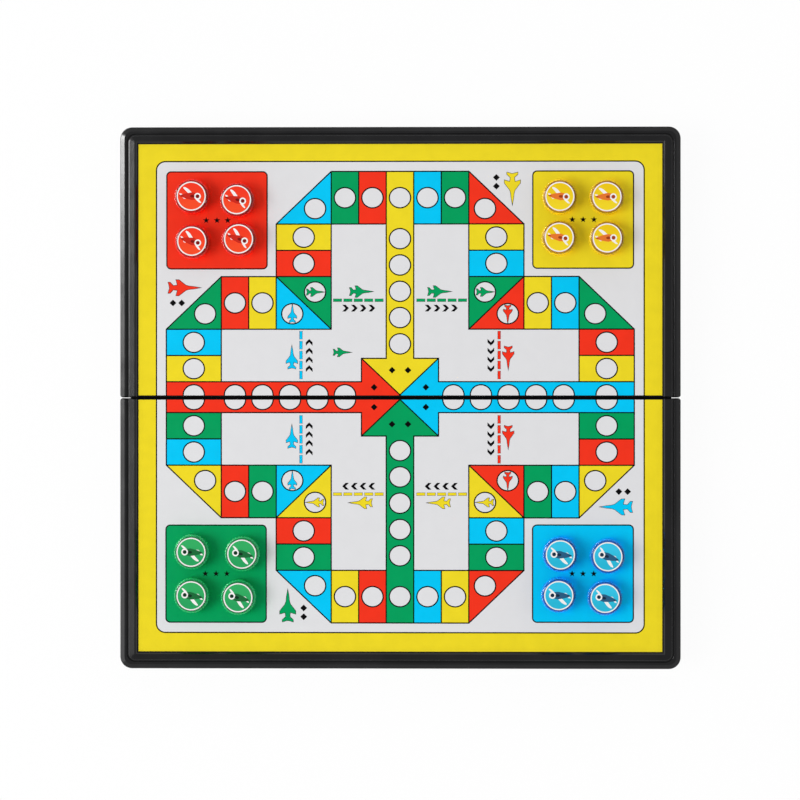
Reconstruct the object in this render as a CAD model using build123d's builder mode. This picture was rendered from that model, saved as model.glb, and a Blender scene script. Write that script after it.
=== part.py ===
"""Folding ludo board box with sixteen magnetic playing pieces.

Two half shells hinge along the fold. Each carries a steel sheet and a printed
sheet on its outside, and stores the pieces inside. The model is the open box.

Millimetres. X runs along the fold, +Y to the rear half and +Z up. The origin
lies on the resting plane, under the middle of the fold.
"""

from build123d import *
import os
from math import cos, pi, sin

# ---- Overall sizes of the open box
OPEN_WIDTH = 250.0
OPEN_DEPTH = 241.7
HALF_HEIGHT = 17.9  # mouth edge to the top of the raised band
FOLD_GAP = 0.3  # between the two halves' fold walls
MOUTH_GAP = 0.2  # between the two mouth edges when the box is closed

# ---- Walls of a half shell
WALL = 2.0
PLATE = 1.6  # top plate under the steel sheet
CORNER_RADIUS = 5.3  # outer corners away from the fold
FOLD_CORNER_RADIUS = 1.3  # corners beside the fold
CAVITY_FOLD_RADIUS = 1.0
RIB_THICKNESS = 1.2
RIB_DEPTH = 1.5
RIB_COUNT = 3
RIB_PITCH = 58.0

# ---- Stepped frame round the play field: lip, groove, raised band
LIP_WIDTH = 3.2
LIP_DROP = 1.5  # lip below the top of the band
LIP_BEVEL_WIDTH = 2.0
LIP_BEVEL_DEPTH = 1.05
LIP_ROUND = 0.5  # lower edge of the bevel
GROOVE_WIDTH = 0.7
GROOVE_DEPTH = 0.6
GROOVE_ROUND = 0.3  # top of the groove's outer wall
BAND_SIDE_WIDTH = 3.85
BAND_FAR_WIDTH = 3.3
BAND_CORNER_RADIUS = 3.1
BAND_SLOPE_WIDTH = 2.7  # outer part of the band's top, which falls towards the lip
BAND_FALL = 0.4
BAND_ROUND = 0.5
BAND_CHAMFER = 0.5
BAND_RISE = 1.0  # band above the printed sheet

# ---- Play field
CURB = 0.7  # thin top of the fold wall beside the sheets
FOLD_BEVEL_WIDTH = 0.6  # bevel of curb, band and lip down to the fold
FOLD_BEVEL_DEPTH = 0.9
SHEET_GAP = 0.6  # between a sheet and the band
STEEL_THICKNESS = 0.3
PRINT_THICKNESS = 0.2

# ---- Hinge
KNUCKLE_RADIUS = 2.0
KNUCKLE_LENGTH = 8.0
KNUCKLE_GAP = 0.3
KNUCKLE_NOTCH = 0.3  # notch in the other half's wall, round a knuckle
HINGE_SPACING = 150.0
PIN_RADIUS = 0.8
PIN_CLEARANCE = 0.05
PIN_END_GAP = 0.3

# ---- Locating tabs, which nest in the other half and are the feet when open
TAB_LENGTH = 24.0
TAB_THICKNESS = 1.8
TAB_CLEARANCE = 0.25
TAB_ROOT = 6.0
TAB_LEAD_IN = 0.5
REAR_FAR_TABS = (-84.0, 84.0)
FRONT_FAR_TABS = (-46.0, 46.0)
REAR_SIDE_TAB = 84.0  # from the fold
FRONT_SIDE_TAB = 40.0

# ---- Snap on the far walls
SNAP_RIDGE = 0.2
SNAP_LENGTH = 16.0
SNAP_HEIGHT = 1.1  # ridge above the tip of its tongue
SNAP_GROOVE = 0.5

# ---- Playing pieces
SKIRT_RADIUS = 7.85  # over the flutes
SKIRT_HEIGHT = 5.4
FLUTE_COUNT = 36
FLUTE_DEPTH = 0.35
CAP_RADIUS = 7.15
CAP_ROUND = 0.4
PIECE_HEIGHT = 7.3
LABEL_RADIUS = 6.6
LABEL_THICKNESS = 0.25
LABEL_SEAT = 0.35
LABEL_CLEARANCE = 0.1
MAGNET_RADIUS = 4.0
MAGNET_THICKNESS = 2.5
MAGNET_CLEARANCE = 0.05
MAGNET_LIFT = 0.2  # magnet above the foot of the piece

# ---- Places of the pieces: four stand in each corner base of the track
BASE_SIDE_INSET = 34.95  # base centre from the side edge of the sheet
BASE_FAR_INSET = 34.1  # base centre from the far edge of the sheet
PIECE_PITCH = 20.0
# How far each piece was set down off its place: along X, along Y, and its turn in degrees.
# Within a base the order is rear left, rear right, front left, front right.
PIECE_NUDGES = {
    "red": ((-0.7, 0.4, 4), (-0.6, -1.2, -6), (-0.5, 0.4, -8), (0.3, 1.4, -12)),
    "yellow": ((-0.9, 0.1, 2), (-0.1, -0.1, 6), (-1.2, 2.0, -4), (0.0, 1.7, 8)),
    "green": ((-0.8, 0.5, 5), (1.7, -0.3, -3), (-0.8, 1.2, 0), (0.0, 0.4, -6)),
    "blue": ((-0.7, -0.5, 3), (0.3, -1.3, -10), (-1.4, 1.5, 6), (-0.9, 0.3, -3)),
}
BASE_CORNERS = {"red": (-1, 1), "yellow": (1, 1), "green": (-1, -1), "blue": (1, -1)}

# ---- Heights
axis_z = KNUCKLE_RADIUS
mouth_z = axis_z + MOUTH_GAP / 2
top_z = mouth_z + HALF_HEIGHT
slope_z = top_z - BAND_FALL
lip_z = top_z - LIP_DROP
bevel_z = lip_z - LIP_BEVEL_DEPTH
print_top_z = top_z - BAND_RISE
print_z = print_top_z - PRINT_THICKNESS
seat_z = print_z - STEEL_THICKNESS
ceiling_z = seat_z - PLATE

# ---- Distances from the fold and from the middle, for the rear half
fold_y = FOLD_GAP / 2
far_y = OPEN_DEPTH / 2
band_x = OPEN_WIDTH / 2 - LIP_WIDTH - GROOVE_WIDTH
band_y = far_y - LIP_WIDTH - GROOVE_WIDTH
groove_x = band_x + GROOVE_WIDTH
groove_y = band_y + GROOVE_WIDTH
recess_x = band_x - BAND_SIDE_WIDTH
recess_y = band_y - BAND_FAR_WIDTH
sheet_x = recess_x - SHEET_GAP
sheet_y = recess_y - SHEET_GAP
sheet_fold_y = fold_y + CURB
cavity_x = OPEN_WIDTH / 2 - WALL
cavity_y = far_y - WALL
cavity_fold_y = fold_y + WALL

# ---- Hinge stations: the rear half has the outer two knuckles of each three
hinge_stations = (-HINGE_SPACING / 2, HINGE_SPACING / 2)
knuckle_pitch = KNUCKLE_LENGTH + KNUCKLE_GAP
front_knuckles = hinge_stations
rear_knuckles = [x + side * knuckle_pitch for x in hinge_stations for side in (-1, 1)]
hinge_length = 3 * KNUCKLE_LENGTH + 2 * KNUCKLE_GAP
pin_length = hinge_length - 2 * PIN_END_GAP

from_fold = (Align.CENTER, Align.MIN)
along_x = (0, 90, 0)  # turns a cylinder's axis from Z to X


def fold_bevel(low_x, high_x, top):
    """Prism that bevels a top at this height down to the fold, between two places along X."""
    with BuildPart() as prism:
        with BuildSketch(Plane.YZ.offset(low_x)):
            with BuildLine():
                Polyline(
                    (0, top - FOLD_BEVEL_DEPTH),
                    (fold_y, top - FOLD_BEVEL_DEPTH),
                    (fold_y + FOLD_BEVEL_WIDTH, top),
                    (0, top),
                    close=True,
                )
            make_face()
        extrude(amount=high_x - low_x)
    return prism.part


def half_blank():
    """Rear half without hinge, tabs or snap."""
    curb_bevel = fold_bevel(-recess_x, recess_x, print_top_z)
    band_bevels = [fold_bevel(recess_x, band_x, top_z), fold_bevel(-band_x, -recess_x, top_z)]
    lip_bevels = [fold_bevel(band_x, OPEN_WIDTH / 2, lip_z), fold_bevel(-OPEN_WIDTH / 2, -band_x, lip_z)]
    with BuildPart() as blank:
        # Lip: the wide body, bevelled round its top and rounded at its corners.
        with BuildSketch(Plane.XY.offset(mouth_z)) as lip:
            with Locations((0, fold_y)):
                Rectangle(OPEN_WIDTH, far_y - fold_y, align=from_fold)
            fillet(lip.vertices().group_by(Axis.Y)[-1], CORNER_RADIUS)
        extrude(amount=lip_z - mouth_z)
        top_face = blank.faces().sort_by(Axis.Z)[-1]
        outer_edges = top_face.edges().sort_by(Axis.Y)[1:]
        chamfer(outer_edges, LIP_BEVEL_WIDTH, LIP_BEVEL_DEPTH, reference=top_face)
        fillet(blank.edges().filter_by_position(Axis.Z, bevel_z - 0.01, bevel_z + 0.01), LIP_ROUND)
        with BuildSketch(Plane.XY.offset(mouth_z)) as outline:
            add(lip.sketch_local)
            fillet(outline.vertices().group_by(Axis.Y)[0], FOLD_CORNER_RADIUS)
        extrude(amount=lip_z - mouth_z, mode=Mode.INTERSECT)

        # Raised band: it runs straight to the fold, slopes to its three outer sides and is rounded there.
        with BuildSketch(Plane.XY.offset(mouth_z)) as band:
            with Locations((0, fold_y)):
                Rectangle(2 * band_x, band_y - fold_y, align=from_fold)
            fillet(band.vertices().group_by(Axis.Y)[-1], BAND_CORNER_RADIUS)
        extrude(amount=top_z - mouth_z)
        top_face = blank.faces().sort_by(Axis.Z)[-1]
        outer_edges = top_face.edges().sort_by(Axis.Y)[1:]
        chamfer(outer_edges, BAND_SLOPE_WIDTH, BAND_FALL, reference=top_face)
        fillet(blank.edges().filter_by_position(Axis.Z, slope_z - 0.01, slope_z + 0.01), BAND_ROUND)

        # Groove between band and lip.
        with BuildSketch(Plane.XY.offset(lip_z - GROOVE_DEPTH)) as groove:
            with Locations((0, fold_y)):
                Rectangle(2 * groove_x, groove_y - fold_y, align=from_fold)
            fillet(groove.vertices().group_by(Axis.Y)[-1], BAND_CORNER_RADIUS + GROOVE_WIDTH)
            add(band.sketch_local, mode=Mode.SUBTRACT)
        extrude(amount=GROOVE_DEPTH, mode=Mode.SUBTRACT)
        groove_edges = [
            edge
            for edge in blank.edges().filter_by_position(Axis.Z, lip_z - 0.01, lip_z + 0.01)
            if abs(abs(edge.center().X) - groove_x) < 0.01 or abs(edge.center().Y - groove_y) < 0.01
        ]
        fillet(groove_edges, GROOVE_ROUND)

        # Recess for the sheets, open above the thin curb at the fold.
        with BuildSketch(Plane.XY.offset(seat_z)):
            with Locations((0, sheet_fold_y)):
                Rectangle(2 * recess_x, recess_y - sheet_fold_y, align=from_fold)
        extrude(amount=top_z - seat_z, mode=Mode.SUBTRACT)
        with BuildSketch(Plane.XY.offset(print_top_z)):
            with Locations((0, fold_y)):
                Rectangle(2 * recess_x, CURB, align=from_fold)
        extrude(amount=top_z - print_top_z, mode=Mode.SUBTRACT)
        inner_edges = [
            edge
            for edge in blank.faces().sort_by(Axis.Z)[-1].edges()
            if abs(edge.center().X) < recess_x + BAND_CHAMFER / 2
            and edge.center().Y < recess_y + BAND_CHAMFER / 2
        ]
        chamfer(inner_edges, BAND_CHAMFER)
        add(curb_bevel, mode=Mode.SUBTRACT)
        add(band_bevels + lip_bevels, mode=Mode.SUBTRACT)

        # Storage cavity, open at the mouth.
        with BuildSketch(Plane.XY.offset(mouth_z)) as cavity:
            with Locations((0, cavity_fold_y)):
                Rectangle(2 * cavity_x, cavity_y - cavity_fold_y, align=from_fold)
            fillet(cavity.vertices().group_by(Axis.Y)[-1], CORNER_RADIUS - WALL)
            fillet(cavity.vertices().group_by(Axis.Y)[0], CAVITY_FOLD_RADIUS)
        extrude(amount=ceiling_z - mouth_z, mode=Mode.SUBTRACT)

        # Ribs under the top plate.
        with BuildSketch(Plane.XY.offset(ceiling_z)):
            with Locations((0, cavity_fold_y + (cavity_y - cavity_fold_y) / 2)):
                with GridLocations(RIB_PITCH, 0, RIB_COUNT, 1):
                    Rectangle(RIB_THICKNESS, cavity_y - cavity_fold_y)
                Rectangle(2 * cavity_x, RIB_THICKNESS)
        extrude(amount=-RIB_DEPTH)
    return blank.part


def tab_outline(wall):
    """Cross-section of a tab: points (distance from the middle or the fold, height)."""
    outer = wall - TAB_CLEARANCE
    inner = outer - TAB_THICKNESS
    root_z = mouth_z + TAB_ROOT
    return [
        (wall, mouth_z),
        (outer, mouth_z),
        (outer, TAB_LEAD_IN),
        (outer - TAB_LEAD_IN, 0),
        (inner, 0),
        (inner, root_z - TAB_THICKNESS),
        (wall, root_z),
    ]


def tabs(far_tabs, side_tab):
    """Tabs inside the far wall, at places along X, and one inside each side wall."""
    with BuildPart() as group:
        for x in far_tabs:
            with BuildSketch(Plane.YZ.offset(x)):
                with BuildLine():
                    Polyline(tab_outline(cavity_y), close=True)
                make_face()
            extrude(amount=TAB_LENGTH / 2, both=True)
        for side in (-1, 1):
            with BuildSketch(Plane.XZ.offset(-side_tab)):
                with BuildLine():
                    Polyline([(side * x, z) for x, z in tab_outline(cavity_x)], close=True)
                make_face()
            extrude(amount=TAB_LENGTH / 2, both=True)
    return group.part


def half_shell(own_knuckles, other_knuckles, far_tabs, side_tab):
    """Rear-side half shell with its knuckles, its notches for the other half's, and its tabs."""
    blank = half_blank()
    feet = tabs(far_tabs, side_tab)
    with BuildPart() as shell:
        add(blank)
        add(feet)
        # Notches that the other half's knuckles turn in.
        with Locations(*[Location((x, 0, axis_z), along_x) for x in other_knuckles]):
            Cylinder(
                KNUCKLE_RADIUS + KNUCKLE_NOTCH,
                KNUCKLE_LENGTH + 2 * KNUCKLE_GAP,
                mode=Mode.SUBTRACT,
            )
        with Locations(*[Location((x, 0, axis_z), along_x) for x in own_knuckles]):
            Cylinder(KNUCKLE_RADIUS, KNUCKLE_LENGTH)
        # Pin bores, and the slots beside each station through which the pins go in.
        with Locations(*[Location((x, 0, axis_z), along_x) for x in hinge_stations]):
            Cylinder(PIN_RADIUS + PIN_CLEARANCE, hinge_length, mode=Mode.SUBTRACT)
        slot_places = [x + (hinge_length + pin_length) / 2 * (1 if x > 0 else -1) for x in hinge_stations]
        with Locations(*[Location((x, 0, axis_z), along_x) for x in slot_places]):
            Cylinder(PIN_RADIUS + PIN_CLEARANCE, pin_length, mode=Mode.SUBTRACT)
    return shell.part


# ---- Rear shell, with the groove that the snap ridge springs into
rear_half = half_shell(rear_knuckles, front_knuckles, REAR_FAR_TABS, REAR_SIDE_TAB)
snap_z = 2 * axis_z - SNAP_HEIGHT  # the ridge's height in the rear half, box closed
with BuildPart() as shell_rear:
    add(rear_half)
    with Locations(Location((0, cavity_y, snap_z), along_x)):
        Cylinder(SNAP_GROOVE, SNAP_LENGTH, mode=Mode.SUBTRACT)
shell_rear.part.label = "shell_rear"

# ---- Front shell: built on the rear side, then mirrored; its middle tab is the snap tongue
front_half = half_shell(front_knuckles, rear_knuckles, (*FRONT_FAR_TABS, 0), FRONT_SIDE_TAB)
with BuildPart() as front_upright:
    add(front_half)
    with Locations(Location((0, cavity_y - TAB_CLEARANCE, SNAP_HEIGHT), along_x)):
        Cylinder(SNAP_RIDGE, SNAP_LENGTH)
with BuildPart() as shell_front:
    mirror(front_upright.part, about=Plane.XZ)
shell_front.part.label = "shell_front"

# ---- Steel sheets
with BuildPart() as steel_rear:
    with BuildSketch(Plane.XY.offset(seat_z)):
        with Locations((0, sheet_fold_y)):
            Rectangle(2 * sheet_x, sheet_y - sheet_fold_y, align=from_fold)
    extrude(amount=STEEL_THICKNESS)
steel_rear.part.label = "steel_rear"
with BuildPart() as steel_front:
    mirror(steel_rear.part, about=Plane.XZ)
steel_front.part.label = "steel_front"

# ---- Printed sheets
with BuildPart() as print_rear:
    with BuildSketch(Plane.XY.offset(print_z)):
        with Locations((0, sheet_fold_y)):
            Rectangle(2 * sheet_x, sheet_y - sheet_fold_y, align=from_fold)
    extrude(amount=PRINT_THICKNESS)
print_rear.part.label = "print_rear"
with BuildPart() as print_front:
    mirror(print_rear.part, about=Plane.XZ)
print_front.part.label = "print_front"

# ---- Hinge pins
with BuildPart() as hinge_pin_left:
    with Locations(Location((hinge_stations[0], 0, axis_z), along_x)):
        Cylinder(PIN_RADIUS, pin_length)
hinge_pin_left.part.label = "hinge_pin_left"
with BuildPart() as hinge_pin_right:
    with Locations(Location((hinge_stations[1], 0, axis_z), along_x)):
        Cylinder(PIN_RADIUS, pin_length)
hinge_pin_right.part.label = "hinge_pin_right"


def piece_planes(colour):
    """The four places of one colour: planes on the print, turned as the pieces stand."""
    corner_x, corner_y = BASE_CORNERS[colour]
    base_x = corner_x * (sheet_x - BASE_SIDE_INSET)
    base_y = corner_y * (sheet_y - BASE_FAR_INSET)
    steps = ((-1, 1), (1, 1), (-1, -1), (1, -1))
    planes = []
    for (step_x, step_y), (nudge_x, nudge_y, turn) in zip(steps, PIECE_NUDGES[colour]):
        x = base_x + step_x * PIECE_PITCH / 2 + nudge_x
        y = base_y + step_y * PIECE_PITCH / 2 + nudge_y
        planes.append(Plane(origin=(x, y, print_top_z)).rotated((0, 0, turn)))
    return planes


def flute_point(step, radius):
    """Point on the fluted outline; whole steps are valleys and half steps are crests."""
    angle = 2 * pi * step / FLUTE_COUNT
    return (radius * cos(angle), radius * sin(angle))


def piece_body(plane):
    """Clear body: fluted skirt, plain cap, seats for the label and the magnet."""
    valley = SKIRT_RADIUS - FLUTE_DEPTH
    with BuildPart() as body:
        with BuildSketch(plane):
            with BuildLine():
                for step in range(FLUTE_COUNT):
                    ThreePointArc(
                        flute_point(step, valley),
                        flute_point(step + 0.5, SKIRT_RADIUS),
                        flute_point(step + 1, valley),
                    )
            make_face()
        extrude(amount=SKIRT_HEIGHT)
        with BuildSketch(plane.offset(SKIRT_HEIGHT)):
            Circle(CAP_RADIUS)
        extrude(amount=PIECE_HEIGHT - SKIRT_HEIGHT)
        fillet(body.faces().sort_by(Axis.Z)[-1].edges(), CAP_ROUND)
        with BuildSketch(plane.offset(PIECE_HEIGHT)):
            Circle(LABEL_RADIUS + LABEL_CLEARANCE)
        extrude(amount=-LABEL_SEAT, mode=Mode.SUBTRACT)
        with BuildSketch(plane):
            Circle(MAGNET_RADIUS + MAGNET_CLEARANCE)
        extrude(amount=MAGNET_LIFT + MAGNET_THICKNESS, mode=Mode.SUBTRACT)
    return body.part


def disc(plane, radius, thickness):
    """Round flat piece standing on a plane."""
    with BuildPart() as plate:
        with BuildSketch(plane):
            Circle(radius)
        extrude(amount=thickness)
    return plate.part


# ---- Playing pieces
pieces = []
for colour in BASE_CORNERS:
    for number, plane in enumerate(piece_planes(colour), start=1):
        name = f"{colour}_{number}"
        body = piece_body(plane)
        body.label = f"{name}_body"
        label = disc(plane.offset(PIECE_HEIGHT - LABEL_SEAT), LABEL_RADIUS, LABEL_THICKNESS)
        label.label = f"{name}_label"
        magnet = disc(plane.offset(MAGNET_LIFT), MAGNET_RADIUS, MAGNET_THICKNESS)
        magnet.label = f"{name}_magnet"
        pieces += [body, label, magnet]

# ---- Files
board = [shell_rear, shell_front, steel_rear, steel_front, print_rear, print_front]
pins = [hinge_pin_left, hinge_pin_right]
os.makedirs("parts", exist_ok=True)
for solid in [builder.part for builder in board + pins] + pieces:
    export_step(solid, f"parts/{solid.label}.step")
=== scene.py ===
"""Looks of the folding ludo board box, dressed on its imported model.

Metres in the model's frame: X runs along the fold, +Y to the rear half, +Z up.
Sizes of the print are written in millimetres and scaled once, by MM.
"""

import math

import bmesh
import bpy
from mathutils import Matrix, Vector


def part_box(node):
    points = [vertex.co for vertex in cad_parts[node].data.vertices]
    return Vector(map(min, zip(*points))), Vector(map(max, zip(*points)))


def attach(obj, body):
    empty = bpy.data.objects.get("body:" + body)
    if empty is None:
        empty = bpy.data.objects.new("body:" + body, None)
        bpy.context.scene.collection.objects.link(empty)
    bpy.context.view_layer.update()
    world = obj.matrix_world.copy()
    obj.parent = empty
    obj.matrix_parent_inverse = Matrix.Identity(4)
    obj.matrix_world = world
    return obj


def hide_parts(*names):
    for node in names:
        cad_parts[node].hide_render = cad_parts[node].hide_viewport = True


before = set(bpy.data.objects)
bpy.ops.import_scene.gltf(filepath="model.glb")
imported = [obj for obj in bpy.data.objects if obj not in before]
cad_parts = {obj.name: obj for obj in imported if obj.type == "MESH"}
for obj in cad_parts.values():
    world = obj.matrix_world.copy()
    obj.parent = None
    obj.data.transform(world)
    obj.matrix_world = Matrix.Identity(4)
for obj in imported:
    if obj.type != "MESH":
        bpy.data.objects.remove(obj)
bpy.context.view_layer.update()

MM = 0.001
HALVES = {"rear": 1, "front": -1}  # and their sides along Y
COLOURS = ("red", "yellow", "green", "blue")

# ---- Print of the play field, in millimetres
INK = 0.015  # height of one layer of ink
PANEL_HALF_X = 108.9
PANEL_FAR_Y = {"rear": 105.6, "front": 104.9}
PANEL_RADIUS = 4.25
HAIRLINE = 0.56  # black line round every field
MODULE_X = 12.26
MODULE_Y = 11.71
ROW_Y = {"rear": 1.3, "front": -0.75}  # middle of the fold row, as each half prints it
PAINTED_FOLD_SHADE_WIDTH = 0.2  # painted shade: black line along the fold edge of the rear half's print, widening the dark fold gap
TRACK_EDGE = 8.5  # modules from the middle to the track's end
TRACK_WIDTH = 2  # modules
ARM_SIDE = 2.5  # modules from the middle to the side of an arm of the track
LANE_SIDE = 0.5  # modules from the middle to the side of a home row
RING_COLOURS = ("yellow", "blue", "green", "red")
FIELDS_PER_SIDE = 13
SHORTCUT_FIELDS = (6, 7)  # of each side's fields, those that carry a jet
CIRCLE_RADIUS = 0.41  # of a module
CORNER_CIRCLE = 0.586  # circle in a triangle, modules from both legs
HOME_HALF_X = 1.4
HOME_HALF_Y = 1.39
HOME_ROW = (2, 3, 4, 5, 6)  # circles from the home square outwards
HOME_ROW_NEARER = (0.06, 0.06, 0.055, 0.0)  # modules, above, right of, below and left of the home square
BASE_WIDTH = 45.3
BASE_DEPTH = 43.8
BASE_RADIUS = 2.2
BASE_PLACES = {  # middles of the corner squares, in millimetres
    "red": (-81.6, 79.1),
    "yellow": (81.5, 79.3),
    "green": (-82.0, -78.4),
    "blue": (81.4, -78.25),
}

# ---- Small motifs of the print: places in modules, sizes in millimetres
SHORTCUT_AT = 3.6  # dashed line, from the middle
SHORTCUT_SPAN = (0.6, 2.43)
DASH_COUNT = 5
DASH_GAP = 0.76
DASH_WIDTH = 1.4
DASH_OUTLINE = 0.14
SHORTCUT_JET = (1.42, 3.93)
SHORTCUT_MARKS = (1.5, 3.3)
START_JET = (4.08, 7.86)
START_MARKS = (3.5, 8.1)
LONE_JET = (-2.11, 1.62)
HOME_MARKS = ((-0.29, 0.94), (0.29, 0.94))
START_JET_LENGTH = 14.0
SHORTCUT_JET_LENGTH = 10.0
FIELD_JET_LENGTH = 7.6
JET_OUTLINE = 0.2
MARK_SIZE = 3.0
MARK_PITCH = 3.9
BASE_MARK_PITCH = 4.8
SHORTCUT_MARK_COUNT = 4
START_MARK_COUNT = 2

# ---- Layers of ink from the sheet upwards; a shape with an outline takes this layer and the next
PANEL_LAYER = 1
TRACK_LAYER = 3
MOTIF_LAYER = 5
FIELD_JET_LAYER = 7
# layer of the painted shade along the fold
PAINTED_FOLD_SHADE_LAYER = 9

# ---- Label of a playing piece, in millimetres and degrees
LABEL_INK = 0.018  # height of one layer of ink
# The white ring stops short of the label's edge, where the label disc's dark ink shows as a painted shade
# line.
LABEL_RING_RADIUS = 6.46
LABEL_GROUND_RADIUS = 5.91
LABEL_HEADING = {"rear": -6.0, "front": 172.0}  # where the plane's nose points
PIECE_TURNS = {
    "red": (4, -6, -8, -12),
    "yellow": (2, 6, -4, 8),
    "green": (5, -3, 0, -6),
    "blue": (3, -10, 6, -3),
}
LABEL_COLOURS = {  # ground at the top and at the bottom, body, dark parts and the painted shade rim round the label
    "red": ("#F6371B", "#F84B22", "#CC2A1C", "#7E1410"),
    "yellow": ("#F1CB10", "#F5D824", "#E87830", "#A03C18"),
    "green": ("#30AD61", "#24A15C", "#1E6A3A", "#0E3420"),
    "blue": ("#34C6EA", "#26B8D8", "#2C5C80", "#182E44"),
}

# ---- Clear body of a playing piece, in millimetres
SKIRT_RADIUS = 7.85  # over the flutes
SKIRT_HEIGHT = 5.4
SKIRT_ROUND = 0.6
FLUTE_COUNT = 36
FLUTE_DEPTH = 0.35
POINTS_PER_FLUTE = 6
CAP_RADIUS = 7.15
CAP_ROUND = 0.4
PIECE_HEIGHT = 7.3
EDGE_ROUND = 0.1
LABEL_SEAT = (6.7, 0.35)  # radius and depth
MAGNET_POCKET = (4.05, 2.7)  # radius and height

# ---- Clear plastic
CLEAR_LOOKS = {  # tints of the skirt, the cap (the same plastic made darker: painted shade) and the lamp light behind them; share of light let through
    "red": ("#FF5040", "#8A1408", "#FF5040", 0.85),
    "yellow": ("#FFE830", "#8A6A08", "#FFE830", 0.85),
    "green": ("#30F098", "#10A860", "#20B878", 0.5),
    "blue": ("#3CC4FF", "#0C4C90", "#3CC4FF", 0.85),
}
CLEAR_IOR = 1.49

# ---- Inks of the play field: colour, and how far it wanders lighter and darker
INKS = {
    "red": ("#F5351E", 0.03),
    "yellow": ("#F0DA26", 0.03),
    "green": ("#009F5C", 0.03),
    "blue": ("#00C8F8", 0.03),
    "white": ("#E2E2E4", 0.01),
    "black": ("#060608", 0.03),
}
LABEL_WHITE = ("#F4F2F0", 0.01)

# ---- Fineness of round shapes
ARC_POINTS = 64
CORNER_POINTS = 12
EDGE_POINTS = 5
SMOOTH_UNDER = 40.0  # degrees between two faces that shade as one


def linear(code):
    """Scene colour of a display colour written as #RRGGBB."""
    shares = [int(code[i : i + 2], 16) / 255 for i in (1, 3, 5)]
    return (*(s / 12.92 if s <= 0.04045 else ((s + 0.055) / 1.055) ** 2.4 for s in shares), 1.0)


# ---------------------------------------------------------------- materials


class Finish:
    """A Principled material under construction, with its noise in object space."""

    def __init__(self, name, roughness, specular=0.5):
        self.material = bpy.data.materials.new(name)
        self.material.use_nodes = True
        self.nodes = self.material.node_tree.nodes
        self.links = self.material.node_tree.links
        self.shader = self.nodes["Principled BSDF"]
        self.shader.inputs["Roughness"].default_value = roughness
        self.shader.inputs["Specular IOR Level"].default_value = specular
        self.place = self.nodes.new("ShaderNodeTexCoord").outputs["Object"]

    def noise(self, size, detail=3.0, stretch=(1, 1, 1)):
        """Noise with lumps of about this size in millimetres."""
        mapping = self.nodes.new("ShaderNodeMapping")
        mapping.inputs["Scale"].default_value = stretch
        self.links.new(self.place, mapping.inputs["Vector"])
        noise = self.nodes.new("ShaderNodeTexNoise")
        noise.inputs["Scale"].default_value = 1 / (size * MM)
        noise.inputs["Detail"].default_value = detail
        self.links.new(mapping.outputs["Vector"], noise.inputs["Vector"])
        return noise.outputs["Fac"]

    def spread(self, value, low, high, start=0.3, end=0.7):
        """A value between low and high, as the noise goes from start to end."""
        span = self.nodes.new("ShaderNodeMapRange")
        for socket, number in (("From Min", start), ("From Max", end), ("To Min", low), ("To Max", high)):
            span.inputs[socket].default_value = number
        self.links.new(value, span.inputs["Value"])
        return span.outputs["Result"]

    def colour(self, low, high, value):
        """Base colour that runs from low to high with a value from 0 to 1."""
        mix = self.nodes.new("ShaderNodeMix")
        mix.data_type = "RGBA"
        mix.inputs["A"].default_value = low
        mix.inputs["B"].default_value = high
        self.links.new(value, mix.inputs["Factor"])
        self.links.new(mix.outputs["Result"], self.shader.inputs["Base Color"])

    def rough(self, value):
        self.links.new(value, self.shader.inputs["Roughness"])

    def bump(self, value, depth):
        """Relief of this depth in millimetres."""
        bump = self.nodes.new("ShaderNodeBump")
        bump.inputs["Distance"].default_value = depth * MM
        self.links.new(value, bump.inputs["Height"])
        self.links.new(bump.outputs["Normal"], self.shader.inputs["Normal"])


def scaled(colour, factor):
    """A colour made lighter or darker."""
    return (*(min(1.0, c * factor) for c in colour[:3]), 1.0)


def ink(name, code, spread=0.03):
    """Printed ink under a satin film: faint mottle, light orange peel."""
    finish = Finish(name, roughness=0.4, specular=0.05)
    colour = linear(code)
    mottle = finish.spread(finish.noise(6, detail=5), 0, 1)
    finish.colour(scaled(colour, 1 - spread), scaled(colour, 1 + spread), mottle)
    finish.rough(finish.spread(finish.noise(2.5), 0.34, 0.46))
    finish.bump(finish.noise(0.8, detail=2), 0.004)
    return finish.material


def black_plastic():
    """Satin black polystyrene: fine mould grain, faint dust, uneven gloss."""
    finish = Finish("black_plastic", roughness=0.2)
    dust = finish.spread(finish.noise(14, detail=8), 0, 1, start=0.4, end=0.75)
    finish.colour(linear("#0C0C0E"), linear("#151517"), dust)
    finish.rough(finish.spread(finish.noise(9, detail=6), 0.15, 0.24))
    finish.bump(finish.noise(0.5, detail=2), 0.006)
    return finish.material


def metal(name, code, roughness, grain, stretch):
    """Bare metal with a grain of this size in millimetres, drawn out by stretch."""
    finish = Finish(name, roughness)
    finish.shader.inputs["Metallic"].default_value = 1.0
    colour = linear(code)
    value = finish.noise(grain, detail=4, stretch=stretch)
    finish.colour(scaled(colour, 0.85), scaled(colour, 1.1), finish.spread(value, 0, 1))
    finish.rough(finish.spread(value, roughness * 0.8, roughness * 1.3))
    finish.bump(value, 0.004)
    return finish.material


def ferrite():
    """Dull grey sintered ferrite with fine specks."""
    finish = Finish("sintered_ferrite", roughness=0.7)
    speck = finish.noise(0.6, detail=6)
    finish.colour(linear("#26262A"), linear("#3A3A40"), finish.spread(speck, 0, 1))
    finish.bump(speck, 0.02)
    return finish.material


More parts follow.
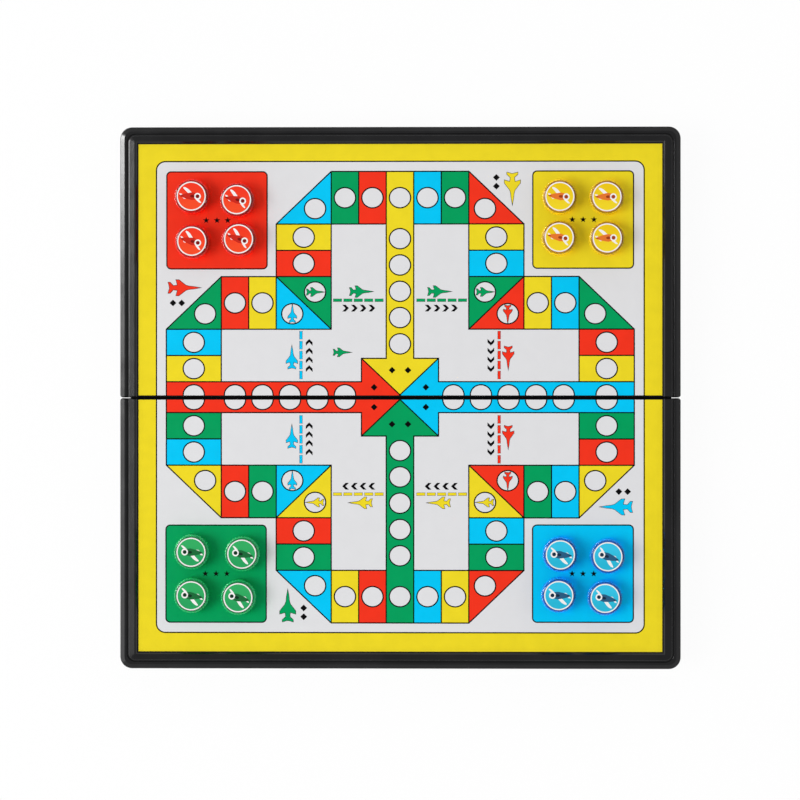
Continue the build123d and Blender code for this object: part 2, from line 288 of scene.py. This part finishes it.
def clear_plastic(name, code, lamp_code, clearness):
    """Clear tinted plastic, with faint flow marks from the mould. Lamps shine through it."""
    finish = Finish(name, roughness=0.05)
    finish.shader.inputs["IOR"].default_value = CLEAR_IOR
    finish.shader.inputs["Transmission Weight"].default_value = clearness
    colour = linear(code)
    finish.colour(scaled(colour, 0.96), colour, finish.spread(finish.noise(5), 0, 1))
    finish.rough(finish.spread(finish.noise(2.5, detail=4), 0.02, 0.07))
    finish.bump(finish.noise(1.4, detail=2), 0.01)
    clear = finish.nodes.new("ShaderNodeBsdfTransparent")
    clear.inputs["Color"].default_value = linear(lamp_code)
    mix = finish.nodes.new("ShaderNodeMixShader")
    rays = finish.nodes.new("ShaderNodeLightPath")
    finish.links.new(rays.outputs["Is Shadow Ray"], mix.inputs["Fac"])
    finish.links.new(finish.shader.outputs["BSDF"], mix.inputs[1])
    finish.links.new(clear.outputs["BSDF"], mix.inputs[2])
    finish.links.new(mix.outputs["Shader"], finish.nodes["Material Output"].inputs["Surface"])
    return finish.material


def label_ground(name, low, high):
    """Label print, darker at the top and lighter at the bottom of each disc."""
    finish = Finish(name, roughness=0.35, specular=0.15)
    split = finish.nodes.new("ShaderNodeSeparateXYZ")
    generated = finish.nodes["Texture Coordinate"].outputs["Generated"]
    finish.links.new(generated, split.inputs["Vector"])
    depth = finish.spread(split.outputs["Y"], 1, 0, start=0.2, end=0.8)
    finish.colour(linear(low), linear(high), depth)
    finish.bump(finish.noise(0.6, detail=2), 0.003)
    return finish.material


def set_material(obj, material):
    obj.data.materials.clear()
    obj.data.materials.append(material)


# ---------------------------------------------------------------- flat shapes


def arc(centre, radius_x, radius_y, start=0.0, turn=360.0, points=ARC_POINTS):
    """Points of an arc; a full turn leaves its last point out."""
    steps = points if turn == 360.0 else points - 1
    angles = [math.radians(start + turn * i / steps) for i in range(points)]
    return [(centre[0] + radius_x * math.cos(a), centre[1] + radius_y * math.sin(a)) for a in angles]


def rounded_box(low, high, radii):
    """Rectangle whose corners have these radii, from the lower left, anticlockwise."""
    corners = ((low[0], low[1]), (high[0], low[1]), (high[0], high[1]), (low[0], high[1]))
    inward = ((1, 1), (-1, 1), (-1, -1), (1, -1))
    points = []
    for i, ((x, y), (sx, sy), radius) in enumerate(zip(corners, inward, radii)):
        if radius:
            centre = (x + sx * radius, y + sy * radius)
            points += arc(centre, radius, radius, 180 + 90 * i, 90, CORNER_POINTS)
        else:
            points.append((x, y))
    return points


def signed_area(points):
    """Area of an outline, below zero where it runs clockwise."""
    pairs = zip(points, points[1:] + points[:1])
    return sum(x0 * y1 - x1 * y0 for (x0, y0), (x1, y1) in pairs) / 2


def inset(points, distance):
    """The outline moved inwards by a distance, with its corners kept sharp."""
    if signed_area(points) < 0:
        points = points[::-1]
    moved = []
    for before, here, after in zip(points[-1:] + points[:-1], points, points[1:] + points[:1]):
        a = (Vector(here) - Vector(before)).normalized()
        b = (Vector(after) - Vector(here)).normalized()
        inward_a, inward_b = Vector((-a.y, a.x)), Vector((-b.y, b.x))
        corner = (inward_a + inward_b) / (1 + inward_a.dot(inward_b))
        moved.append(tuple(Vector(here) + corner * distance))
    return moved


def clip(points, side, edge):
    """The part of a convex outline beyond y = edge, on the half at +1 or -1."""
    kept = []
    for (x0, y0), (x1, y1) in zip(points, points[1:] + points[:1]):
        in_first, in_second = side * (y0 - edge) >= 0, side * (y1 - edge) >= 0
        if in_first:
            kept.append((x0, y0))
        if in_first != in_second:
            kept.append((x0 + (x1 - x0) * (edge - y0) / (y1 - y0), edge))
    return kept


def turned(points, place, angle, scale=1.0):
    """An outline scaled, turned by degrees and put in its place."""
    c, s = scale * math.cos(math.radians(angle)), scale * math.sin(math.radians(angle))
    return [(place[0] + c * x - s * y, place[1] + s * x + c * y) for x, y in points]


def mirrored(half_outline):
    """A closed outline from its upper half, which starts and ends on the X axis."""
    lower = [(x, -y) for x, y in reversed(half_outline) if y > 0]
    return list(half_outline) + lower


class Slabs:
    """Flat slabs of ink in one colour that become one object."""

    def __init__(self):
        self.mesh = bmesh.new()

    def add(self, outline, low, high):
        """Adds a closed slab; outline and heights are in millimetres."""
        if signed_area(outline) < 0:
            outline = outline[::-1]
        bottom, top = (
            [self.mesh.verts.new((x * MM, y * MM, z * MM)) for x, y in outline] for z in (low, high)
        )
        self.mesh.faces.new(top)
        self.mesh.faces.new(bottom[::-1])
        for i in range(len(outline)):
            j = (i + 1) % len(outline)
            self.mesh.faces.new((bottom[i], bottom[j], top[j], top[i]))

    def finish(self, name, material, body, slot):
        """Makes the object, which rides on a body of the model."""
        data = bpy.data.meshes.new(name)
        self.mesh.to_mesh(data)
        self.mesh.free()
        obj = bpy.data.objects.new(name, data)
        bpy.context.scene.collection.objects.link(obj)
        set_material(obj, material)
        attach(obj, body)
        return obj


# ---------------------------------------------------------------- the printed play field

# Motifs, one unit long; they point along +X.
JET = mirrored(
    [
        (0.5, 0),
        (0.34, 0.03),
        (0.16, 0.05),
        (0.06, 0.08),
        (-0.16, 0.25),
        (-0.25, 0.25),
        (-0.2, 0.08),
        (-0.34, 0.06),
        (-0.44, 0.17),
        (-0.5, 0.17),
        (-0.46, 0.03),
    ]
)
CHEVRON = [(-0.5, -0.5), (0.0, -0.5), (0.5, 0), (0.0, 0.5), (-0.5, 0.5), (0, 0)]
DIAMOND = [(-0.5, 0), (0, -0.5), (0.5, 0), (0, 0.5)]
STAR_POINTS = 5
STAR_WAIST = 0.42


def star():
    """Star one unit across."""
    radii = (0.5, 0.5 * STAR_WAIST)
    spikes = range(2 * STAR_POINTS)
    angles = [math.pi / 2 + math.pi * i / STAR_POINTS for i in spikes]
    return [(radii[i % 2] * math.cos(a), radii[i % 2] * math.sin(a)) for i, a in zip(spikes, angles)]


def quarter_turns(points, turns):
    """Points of the track turned clockwise about its middle, in modules."""
    for _ in range(turns):
        points = [(y, -x) for x, y in points]
    return points


def box(x0, y0, x1, y1):
    return [(x0, y0), (x1, y0), (x1, y1), (x0, y1)]


def ring_cells():
    """The 52 fields of the track: colour, outline and circle, in modules."""
    near, knee = ARM_SIDE, ARM_SIDE + TRACK_WIDTH
    far, end = TRACK_EDGE - TRACK_WIDTH, TRACK_EDGE
    c = CORNER_CIRCLE
    quarter = [
        (box(-0.5, far, 0.5, end), (0, far + 1)),
        (box(0.5, far, 1.5, end), (1, far + 1)),
        (box(1.5, far, near, end), (2, far + 1)),
        ([(near, far), (knee, far), (near, end)], (near + c, far + c)),
        (box(near, far - 1, knee, far), (near + 1, far - 0.5)),
        (box(near, far - 2, knee, far - 1), (near + 1, far - 1.5)),
        ([(near, near), (knee, knee), (near, knee)], (near + c, knee - c)),
        ([(near, near), (knee, near), (knee, knee)], (knee - c, near + c)),
        (box(knee, near, knee + 1, knee), (knee + 0.5, near + 1)),
        (box(knee + 1, near, knee + 2, knee), (knee + 1.5, near + 1)),
        ([(far, near), (end, near), (far, knee)], (far + c, near + c)),
        (box(far, 1.5, end, near), (far + 1, 2)),
        (box(far, 0.5, end, 1.5), (far + 1, 1)),
    ]
    cells = []
    for turns in range(4):
        for outline, circle in quarter:
            colour = RING_COLOURS[len(cells) % 4]
            cells.append((colour, quarter_turns(outline, turns), quarter_turns([circle], turns)[0]))
    return cells


class PlayField:
    """The print of one half of the board, as one object for each ink."""

    def __init__(self, half):
        self.half = half
        self.side = HALVES[half]
        low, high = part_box(f"print_{half}")
        self.half_width = high.x / MM
        self.top = high.z / MM
        self.edge = (low.y if self.side > 0 else high.y) / MM
        self.inks = {name: Slabs() for name in (*COLOURS, "white", "black")}

    def place(self, point):
        """Millimetres of a point in modules."""
        return point[0] * MODULE_X, ROW_Y[self.half] + point[1] * MODULE_Y

    def lay(self, colour, outline, layer):
        """Prints an outline as this layer of ink, if it reaches this half."""
        outline = clip(outline, self.side, self.edge)
        if len(outline) > 2:
            self.inks[colour].add(outline, self.top - INK, self.top + layer * INK)

    def lay_whole(self, colour, outline, layer):
        """Prints an outline that lies wholly on this half."""
        self.inks[colour].add(outline, self.top - INK, self.top + layer * INK)

    def panel(self):
        """The white panel with its black outline, open at the fold."""
        far = self.side * PANEL_FAR_Y[self.half]
        low = (-PANEL_HALF_X, min(self.edge, far))
        high = (PANEL_HALF_X, max(self.edge, far))
        r = PANEL_RADIUS
        radii = (0, 0, r, r) if self.side > 0 else (r, r, 0, 0)
        outline = rounded_box(low, high, radii)
        self.lay_whole("black", outline, PANEL_LAYER)
        inner = rounded_box(
            (low[0] + HAIRLINE, low[1] + (HAIRLINE if self.side < 0 else 0)),
            (high[0] - HAIRLINE, high[1] - (HAIRLINE if self.side > 0 else 0)),
            [max(0, radius - HAIRLINE) for radius in radii],
        )
        self.lay_whole("white", inner, PANEL_LAYER + 1)

    def track(self):
        """The track's black ground, with the white windows that it leaves open."""
        near, knee, lane = ARM_SIDE, ARM_SIDE + TRACK_WIDTH, LANE_SIDE
        far, end = TRACK_EDGE - TRACK_WIDTH, TRACK_EDGE
        right = [(end, -lane), (end, near), (far, knee), (knee, knee), (knee, far), (near, end)]
        around = [self.place((x, self.side * y)) for x, y in right]
        around += [(-x, y) for x, y in reversed(around)]
        self.lay("black", inset(around, -HAIRLINE / 2), TRACK_LAYER)
        window = [(lane, far), (near, far), (near, near), (far, near), (far, lane)]
        window += [(HOME_HALF_X, lane), (HOME_HALF_X, HOME_HALF_Y), (lane, HOME_HALF_Y)]
        for mirror in (1, -1):
            outline = [self.place((mirror * x, self.side * y)) for x, y in window]
            self.lay_whole("white", inset(outline, HAIRLINE / 2), TRACK_LAYER + 1)

    def cells(self):
        """The track's fields, apart from the four that the home rows run into."""
        for number, (colour, outline, circle) in enumerate(ring_cells()):
            if number % FIELDS_PER_SIDE:
                field = [self.place(p) for p in outline]
                self.lay(colour, inset(field, HAIRLINE / 2), TRACK_LAYER + 1)
            self.circle(circle)

    def circle(self, centre):
        """The white circle of a field, with its black outline."""
        place = self.place(centre)
        radius_x, radius_y = CIRCLE_RADIUS * MODULE_X, CIRCLE_RADIUS * MODULE_Y
        self.lay("black", arc(place, radius_x, radius_y), MOTIF_LAYER)
        self.lay("white", arc(place, radius_x - HAIRLINE, radius_y - HAIRLINE), MOTIF_LAYER + 1)

    def home(self):
        """The home rows, each widening into its triangle of the home square."""
        for turns, colour in enumerate(RING_COLOURS):
            across, along = (HOME_HALF_X, HOME_HALF_Y) if turns % 2 == 0 else (HOME_HALF_Y, HOME_HALF_X)
            right = [(0, 0), (across, along), (LANE_SIDE, along), (LANE_SIDE, TRACK_EDGE)]
            row = right + [(-x, y) for x, y in reversed(right[1:])]
            outline = [self.place(p) for p in quarter_turns(row, turns)]
            self.lay(colour, inset(outline, HAIRLINE / 2), TRACK_LAYER + 1)
            for distance in HOME_ROW:
                self.circle(quarter_turns([(0, distance - HOME_ROW_NEARER[turns])], turns)[0])

    def bases(self):
        """The four corner squares where the pieces stand, each with three marks."""
        for colour, (x, y) in BASE_PLACES.items():
            if y * self.side < 0:
                continue
            low = (x - BASE_WIDTH / 2, y - BASE_DEPTH / 2)
            high = (x + BASE_WIDTH / 2, y + BASE_DEPTH / 2)
            outline = rounded_box(low, high, [BASE_RADIUS] * 4)
            self.lay_whole("black", outline, TRACK_LAYER)
            self.lay_whole(colour, inset(outline, HAIRLINE), TRACK_LAYER + 1)
            for step in (-1, 0, 1):
                mark = turned(star(), (x + step * BASE_MARK_PITCH, y), 0, MARK_SIZE)
                self.lay_whole("black", mark, MOTIF_LAYER)

    def motif(self, colour, outline, point, heading, size, layer=MOTIF_LAYER):
        """A small outlined figure at a point in modules, if that is on this half."""
        if point[1] * self.side > 0:
            figure = turned(outline, self.place(point), heading, size)
            self.lay_whole("black", inset(figure, -JET_OUTLINE), layer)
            self.lay_whole(colour, figure, layer + 1)

    def marks(self, outline, point, heading, count):
        """A row of black marks centred on a point in modules."""
        if point[1] * self.side < 0:
            return
        for i in range(count):
            shift = (i - (count - 1) / 2) * MARK_PITCH
            place = turned([(shift, 0)], self.place(point), heading)[0]
            self.lay_whole("black", turned(outline, place, heading, MARK_SIZE), MOTIF_LAYER)

    def shortcuts(self):
        """Two dashed lines on each side of the track, with their jets and marks."""
        for turns in range(4):
            colour = RING_COLOURS[(turns + 2) % 4]
            heading = -90 * turns
            for mirror in (1, -1):
                self.dashes(colour, turns, mirror)
                jet = quarter_turns([(mirror * SHORTCUT_JET[0], SHORTCUT_JET[1])], turns)[0]
                self.motif(colour, JET, jet, heading, SHORTCUT_JET_LENGTH)
                marks = quarter_turns([(mirror * SHORTCUT_MARKS[0], SHORTCUT_MARKS[1])], turns)[0]
                self.marks(CHEVRON, marks, heading, SHORTCUT_MARK_COUNT)

    def dashes(self, colour, turns, mirror):
        """The dashed line of one shortcut."""
        ends = quarter_turns([(mirror * x, SHORTCUT_AT) for x in SHORTCUT_SPAN], turns)
        if ends[0][1] * self.side < 0:
            return
        start, end = (Vector(self.place(p)) for p in ends)
        along = (end - start).normalized()
        heading = math.degrees(math.atan2(along.y, along.x))
        length = ((end - start).length - (DASH_COUNT - 1) * DASH_GAP) / DASH_COUNT
        straight = box(-length / 2, -DASH_WIDTH / 2, length / 2, DASH_WIDTH / 2)
        for i in range(DASH_COUNT):
            middle = start + along * (length / 2 + i * (length + DASH_GAP))
            dash = turned(straight, middle, heading)
            self.lay_whole("black", dash, MOTIF_LAYER)
            self.lay_whole(colour, inset(dash, DASH_OUTLINE), MOTIF_LAYER + 1)

    def starts(self):
        """The jet and marks beside each corner square, and the lone small jet."""
        for turns, colour in enumerate(RING_COLOURS):
            heading = -90 * (turns + 1)
            self.motif(colour, JET, quarter_turns([START_JET], turns)[0], heading, START_JET_LENGTH)
            self.marks(DIAMOND, quarter_turns([START_MARKS], turns)[0], heading, START_MARK_COUNT)
        self.motif("green", JET, LONE_JET, 0, FIELD_JET_LENGTH)

    def field_jets(self):
        """A jet in the circle of each field that a shortcut leaves from or leads to."""
        for number, (colour, _, circle) in enumerate(ring_cells()):
            if number % FIELDS_PER_SIDE in SHORTCUT_FIELDS:
                heading = -90 * (RING_COLOURS.index(colour) + 2)
                self.motif(colour, JET, circle, heading, FIELD_JET_LENGTH, FIELD_JET_LAYER)

    def painted_fold_shade(self):
        """Painted shade: a black line along the fold edge of the rear half's print, which widens the dark
        fold gap.
        """
        line = box(-self.half_width, self.edge, self.half_width, self.edge + PAINTED_FOLD_SHADE_WIDTH)
        self.lay_whole("black", line, PAINTED_FOLD_SHADE_LAYER)

    def home_marks(self):
        """Two diamonds in each triangle of the home square."""
        for turns in range(4):
            for point in quarter_turns(HOME_MARKS, turns):
                self.marks(DIAMOND, point, 0, 1)


def build_play_field(half, materials):
    """All the ink of one half, on top of its printed sheet."""
    field = PlayField(half)
    field.panel()
    field.track()
    field.cells()
    field.home()
    field.bases()
    field.shortcuts()
    field.starts()
    field.field_jets()
    field.home_marks()
    # The rear half's black ink also takes the painted shade line along the fold.
    if half == "rear":
        field.painted_fold_shade()
    body = f"{half}_half"
    for name, slabs in field.inks.items():
        if slabs.mesh.verts:
            slabs.finish(f"print_{name}_{half}", materials[f"ink_{name}"], body, "printed_sheet")
        else:
            slabs.mesh.free()


# ---------------------------------------------------------------- labels of the playing pieces

# Propeller plane in millimetres, its nose along +X. Wings and tail give each point's place along
# the body and its reach along the wing.
PLANE_BODY = mirrored([(2.5, 0), (2.4, 1.35), (0.4, 1.7), (-2.6, 1.1), (-4.6, 0.4), (-5.0, 0)])
PLANE_LEAN = 42.0  # angle between body and wings: the plane is drawn from one side
PLANE_NEAR_WING = [(-0.1, 0.9), (1.9, 0.9), (2.1, 4.6), (1.7, 5.7), (0.9, 5.9), (0.2, 5.2)]
PLANE_FAR_WING = [(0.3, -0.8), (1.9, -0.8), (1.7, -3.8), (1.3, -4.3), (0.8, -4.3), (0.5, -3.8)]
PLANE_NEAR_TAIL = [(-4.5, 0.2), (-3.1, 0.2), (-3.3, 1.5), (-4.3, 1.6)]
PLANE_FAR_TAIL = [(-4.6, -0.2), (-3.4, -0.2), (-3.8, -1.9), (-4.6, -1.9)]
PLANE_RUDDER = mirrored([(-3.4, 0), (-4.2, 0.16), (-5.1, 0.16), (-5.2, 0)])
COWL_PLACE = (2.8, 0.0)
COWL_RADIUS = 1.5
SPINNER_RADIUS = 0.85
CANOPY_PLACE = (0.5, 0.0)
CANOPY_RADII = (0.95, 0.6)


def leaning(points):
    """Outline of a wing, from places along the body and reaches along the wing."""
    lean = math.radians(PLANE_LEAN)
    return [(x - y * math.cos(lean), y * math.sin(lean)) for x, y in points]


def build_label(colour, number, heading, materials):
    """Printed picture of a propeller plane on one piece's label."""
    name = f"{colour}_{number}"
    low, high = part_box(f"{name}_label")
    middle, top = (low + high) / (2 * MM), high.z / MM
    wings = (PLANE_NEAR_WING, PLANE_FAR_WING, PLANE_NEAR_TAIL, PLANE_FAR_TAIL)
    cowl = arc(COWL_PLACE, COWL_RADIUS, COWL_RADIUS)
    spinner = arc(COWL_PLACE, SPINNER_RADIUS, SPINNER_RADIUS)
    layers = [
        [("white", arc((0, 0), LABEL_RING_RADIUS, LABEL_RING_RADIUS))],
        [("ground", arc((0, 0), LABEL_GROUND_RADIUS, LABEL_GROUND_RADIUS))],
        [("white", leaning(wing)) for wing in wings],
        [("body", PLANE_BODY)],
        [("white", cowl), ("dark", arc(CANOPY_PLACE, *CANOPY_RADII)), ("dark", PLANE_RUDDER)],
        [("dark", spinner)],
    ]
    parts = {part: Slabs() for part in ("ground", "body", "dark", "white")}
    for layer, prints in enumerate(layers, start=1):
        for part, outline in prints:
            parts[part].add(turned(outline, middle, heading), top - LABEL_INK, top + layer * LABEL_INK)
    for part, slabs in parts.items():
        material = materials["label_white"] if part == "white" else materials[f"label_{part}_{colour}"]
        slabs.finish(f"label_{part}_{name}", material, f"piece_{name}", f"{colour}_label_print")


# ---------------------------------------------------------------- clear bodies of the playing pieces


def corner(centre, radius, start, turn, depth):
    """Rings of a rounded edge: radius, height and flute depth of each."""
    return [(r, z, depth) for r, z in arc(centre, radius, radius, start, turn, EDGE_POINTS)]


def skirt_rings():
    """Rings of the body's lower surface, from the magnet's pocket round to the cap's wall."""
    pocket_radius, pocket_height = MAGNET_POCKET
    skirt = SKIRT_RADIUS - SKIRT_ROUND, SKIRT_HEIGHT - SKIRT_ROUND
    foot = SKIRT_RADIUS - EDGE_ROUND, EDGE_ROUND
    return [
        (pocket_radius, pocket_height, 0),
        *corner((pocket_radius + EDGE_ROUND, EDGE_ROUND), EDGE_ROUND, 180, 90, 0),
        *corner(foot, EDGE_ROUND, 270, 90, FLUTE_DEPTH),
        *corner(skirt, SKIRT_ROUND, 0, 90, FLUTE_DEPTH),
        *corner((CAP_RADIUS + EDGE_ROUND, SKIRT_HEIGHT + EDGE_ROUND), EDGE_ROUND, 270, -90, 0),
    ]


def cap_rings():
    """Rings of the cap, from its rounded edge to the label's seat."""
    seat_radius, seat_depth = LABEL_SEAT
    cap = CAP_RADIUS - CAP_ROUND, PIECE_HEIGHT - CAP_ROUND
    return [
        *corner(cap, CAP_ROUND, 0, 90, 0),
        (seat_radius, PIECE_HEIGHT, 0),
        (seat_radius, PIECE_HEIGHT - seat_depth, 0),
    ]


def fluted_ring(radius, height, depth, turn):
    """Points of one ring round the middle of a piece's foot, in metres."""
    count = FLUTE_COUNT * POINTS_PER_FLUTE
    points = []
    for i in range(count):
        valley = 1 - math.sin(math.pi * (i % POINTS_PER_FLUTE) / POINTS_PER_FLUTE)
        angle = math.radians(turn) + math.tau * i / count
        reach = (radius - depth * valley) * MM
        points.append(Vector((reach * math.cos(angle), reach * math.sin(angle), height * MM)))
    return points


def build_piece_body(name, turn, skirt_material, cap_shaded_material):
    """Clear body with a fluted skirt, in place of the plain one. The cap takes a darker copy of the skirt's
    plastic: painted shade.
    """
    low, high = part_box(f"{name}_body")
    foot = Vector(((low.x + high.x) / 2, (low.y + high.y) / 2, low.z))
    mesh = bmesh.new()
    rings = [
        [mesh.verts.new(foot + point) for point in fluted_ring(*ring, turn)]
        for ring in skirt_rings() + cap_rings()
    ]
    mesh.faces.new(rings[0][::-1])
    mesh.faces.new(rings[-1])
    for number, (below, above) in enumerate(zip(rings, rings[1:]), start=1):
        for i in range(len(below)):
            j = (i + 1) % len(below)
            face = mesh.faces.new((below[i], below[j], above[j], above[i]))
            # Cap faces take the second material, the darker copy of the plastic: painted shade.
            face.material_index = int(number >= len(skirt_rings()))
    for face in mesh.faces:
        face.smooth = True
    for edge in mesh.edges:
        edge.smooth = edge.calc_face_angle(0) < math.radians(SMOOTH_UNDER)
    data = bpy.data.meshes.new(f"clear_body_{name}")
    mesh.to_mesh(data)
    mesh.free()
    obj = bpy.data.objects.new(f"clear_body_{name}", data)
    bpy.context.scene.collection.objects.link(obj)
    for material in (skirt_material, cap_shaded_material):
        data.materials.append(material)
    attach(obj, f"piece_{name}")
    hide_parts(f"{name}_body")


# ---------------------------------------------------------------- studio, in metres

CAMERA_DISTANCE = 1.1
CAMERA_SHIFT_X = 0.016  # the camera stands a little to the right of the middle
AIM = Vector((0.0, -0.00098, 0.0185))
LENS = 111.1  # millimetres
SENSOR_WIDTH = 36.0  # millimetres
LAMPS = {  # place, width, height and power in watts
    "key": ((-2.0, -0.33, 2.1), 1.5, 1.5, 48.0),
    "wall": ((-1.55, 0.0, 1.2), 2.4, 2.0, 17.0),
    "window": ((-1.45, 0.46, 1.12), 0.6, 1.4, 46.0),
}
AMBIENT = 1.33  # world light on the object, where the camera, mirrors and glass see 1
ZENITH = 0.34  # brightness overhead, beside the horizon's
ZENITH_FROM = 0.7  # height in the sky where that brightness is reached
FLOOR_SIZE = 8.0
FLOOR_SHADE = 0.95
FLOOR_ROUGHNESS = 0.9
FLOOR_CLEAR = 0.95  # to the camera, so that the box shows where it folds below the floor
PAINTED_SHADE_STRIP = (0.1225, 0.0012, 0.00003)  # painted shade: near-black strip of floor under the fold gap: half width, half depth, height
# grey of that strip, nearly black: painted shade
PAINTED_SHADE_STRIP_GREY = 0.01


def aim(obj, target, up):
    """Turns a lamp or camera towards a point."""
    forward = (Vector(target) - obj.location).normalized()
    right = forward.cross(Vector(up)).normalized()
    axes = Matrix((right, right.cross(forward), -forward)).transposed()
    obj.rotation_euler = axes.to_euler()


def build_camera():
    """Camera straight above the board."""
    camera = bpy.data.objects.new("camera", bpy.data.cameras.new("camera"))
    bpy.context.scene.collection.objects.link(camera)
    camera.data.sensor_width = SENSOR_WIDTH
    camera.data.lens = LENS
    camera.location = AIM + Vector((CAMERA_SHIFT_X, 0.0, CAMERA_DISTANCE))
    aim(camera, AIM, up=(0, 1, 0))
    bpy.context.scene.camera = camera


def area_light(name, place, width, height, power):
    """A softbox that points at the middle of the board."""
    lamp = bpy.data.lights.new(name, "AREA")
    lamp.shape = "RECTANGLE"
    lamp.size, lamp.size_y = width, height
    lamp.energy = power
    obj = bpy.data.objects.new(name, lamp)
    bpy.context.scene.collection.objects.link(obj)
    obj.location = place
    aim(obj, (0, 0, 0), up=(0, 0, 1))
    return obj


def seen_share(nodes, links, other, seen):
    """One number for rays from the camera, mirrors and glass, another for the rest."""
    rays = nodes.new("ShaderNodeLightPath")
    most = rays.outputs["Is Camera Ray"]
    for kind in ("Is Glossy Ray", "Is Transmission Ray"):
        larger = nodes.new("ShaderNodeMath")
        larger.operation = "MAXIMUM"
        links.new(most, larger.inputs[0])
        links.new(rays.outputs[kind], larger.inputs[1])
        most = larger.outputs["Value"]
    share = nodes.new("ShaderNodeMapRange")
    share.inputs["To Min"].default_value = other
    share.inputs["To Max"].default_value = seen
    links.new(most, share.inputs["Value"])
    return share.outputs["Result"]


def floor_part(name, half_width, half_depth, height, shade, clear):
    """A rectangle of floor in this shade of grey, as clear to the camera as this share."""
    mesh = bpy.data.meshes.new(name)
    x, y, z = half_width, half_depth, height
    mesh.from_pydata([(-x, -y, z), (x, -y, z), (x, y, z), (-x, y, z)], [], [(0, 1, 2, 3)])
    floor = bpy.data.objects.new(name, mesh)
    bpy.context.scene.collection.objects.link(floor)
    set_material(floor, floor_material(name, shade, clear))


def floor_material(name, shade, clear_share):
    """Grey that is clear to lamps, and to the camera by this share."""
    material = bpy.data.materials.new(name)
    material.use_nodes = True
    nodes, links = material.node_tree.nodes, material.node_tree.links
    shader = nodes["Principled BSDF"]
    shader.inputs["Base Color"].default_value = (shade, shade, shade, 1)
    shader.inputs["Roughness"].default_value = FLOOR_ROUGHNESS
    rays = nodes.new("ShaderNodeLightPath")
    share = nodes.new("ShaderNodeMath")
    share.operation = "MULTIPLY_ADD"
    share.inputs[1].default_value = clear_share
    links.new(rays.outputs["Is Camera Ray"], share.inputs[0])
    links.new(rays.outputs["Is Shadow Ray"], share.inputs[2])
    clear = nodes.new("ShaderNodeBsdfTransparent")
    mix = nodes.new("ShaderNodeMixShader")
    links.new(share.outputs["Value"], mix.inputs["Fac"])
    links.new(shader.outputs["BSDF"], mix.inputs[1])
    links.new(clear.outputs["BSDF"], mix.inputs[2])
    links.new(mix.outputs["Shader"], nodes["Material Output"].inputs["Surface"])
    return material


def build_world():
    """World light: white at the horizon and below, dimmer overhead, stronger on the object than in view."""
    world = bpy.data.worlds.new("studio")
    bpy.context.scene.world = world
    world.use_nodes = True
    nodes, links = world.node_tree.nodes, world.node_tree.links
    sky = nodes["Background"]
    split = nodes.new("ShaderNodeSeparateXYZ")
    links.new(nodes.new("ShaderNodeTexCoord").outputs["Generated"], split.inputs["Vector"])
    shade = nodes.new("ShaderNodeMapRange")
    shade.inputs["From Max"].default_value = ZENITH_FROM
    shade.inputs["To Min"].default_value = 1.0
    shade.inputs["To Max"].default_value = ZENITH
    links.new(split.outputs["Z"], shade.inputs["Value"])
    links.new(shade.outputs["Result"], sky.inputs["Color"])
    links.new(seen_share(nodes, links, AMBIENT, 1.0), sky.inputs["Strength"])


def build_studio():
    """World, floor and lamps. The key lights the box; wall and window only shine in its surfaces."""
    bpy.context.scene.view_settings.view_transform = "Standard"
    build_world()
    floor_part("floor", FLOOR_SIZE / 2, FLOOR_SIZE / 2, 0, FLOOR_SHADE, FLOOR_CLEAR)
    # Painted shade: a near-black strip under the fold gap, opaque to the camera.
    floor_part("painted_shade_under_fold", *PAINTED_SHADE_STRIP, PAINTED_SHADE_STRIP_GREY, 0)
    key, wall, window = (area_light(name, *lamp) for name, lamp in LAMPS.items())
    key.visible_glossy = False
    wall.visible_diffuse = False
    window.visible_diffuse = False


# ---------------------------------------------------------------- build


def print_materials():
    """Inks of the play field and of the labels, by name."""
    materials = {f"ink_{name}": ink(f"ink_{name}", *look) for name, look in INKS.items()}
    materials["label_white"] = ink("label_white", *LABEL_WHITE)
    for colour, (low, high, body, dark) in LABEL_COLOURS.items():
        materials[f"label_ground_{colour}"] = label_ground(f"label_ground_{colour}", low, high)
        materials[f"label_body_{colour}"] = ink(f"label_body_{colour}", body)
        materials[f"label_dark_{colour}"] = ink(f"label_dark_{colour}", dark)
    return materials


def dress_halves(materials):
    """Shells, sheets, print and hinge pins."""
    plastic = black_plastic()
    steel = metal("rolled_steel", "#B9B9BB", roughness=0.35, grain=0.6, stretch=(1, 8, 1))
    wire = metal("drawn_wire", "#C4C4C6", roughness=0.3, grain=0.4, stretch=(1, 6, 6))
    for half in HALVES:
        set_material(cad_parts[f"shell_{half}"], plastic)
        set_material(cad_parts[f"steel_{half}"], steel)
        set_material(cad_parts[f"print_{half}"], materials["ink_yellow"])
        build_play_field(half, materials)
    for side in ("left", "right"):
        set_material(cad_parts[f"hinge_pin_{side}"], wire)


def dress_pieces(materials):
    """The sixteen playing pieces: body, label and magnet of each."""
    magnet = ferrite()
    for colour in COLOURS:
        half = "rear" if BASE_PLACES[colour][1] > 0 else "front"
        skirt_tint, cap_shaded_tint, lamp_tint, clearness = CLEAR_LOOKS[colour]
        skirt = clear_plastic(f"clear_{colour}", skirt_tint, lamp_tint, clearness)
        # The cap's plastic is the skirt's made darker: painted shade.
        cap = clear_plastic(f"clear_cap_painted_shade_{colour}", cap_shaded_tint, lamp_tint, clearness)
        for number, turn in enumerate(PIECE_TURNS[colour], start=1):
            name = f"{colour}_{number}"
            # The label disc takes the dark ink; its rim outside the white ring is a painted shade line.
            set_material(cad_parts[f"{name}_label"], materials[f"label_dark_{colour}"])
            set_material(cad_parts[f"{name}_magnet"], magnet)
            build_piece_body(name, turn, skirt, cap)
            build_label(colour, number, LABEL_HEADING[half] + turn, materials)


materials = print_materials()
dress_halves(materials)
dress_pieces(materials)
build_studio()
build_camera()
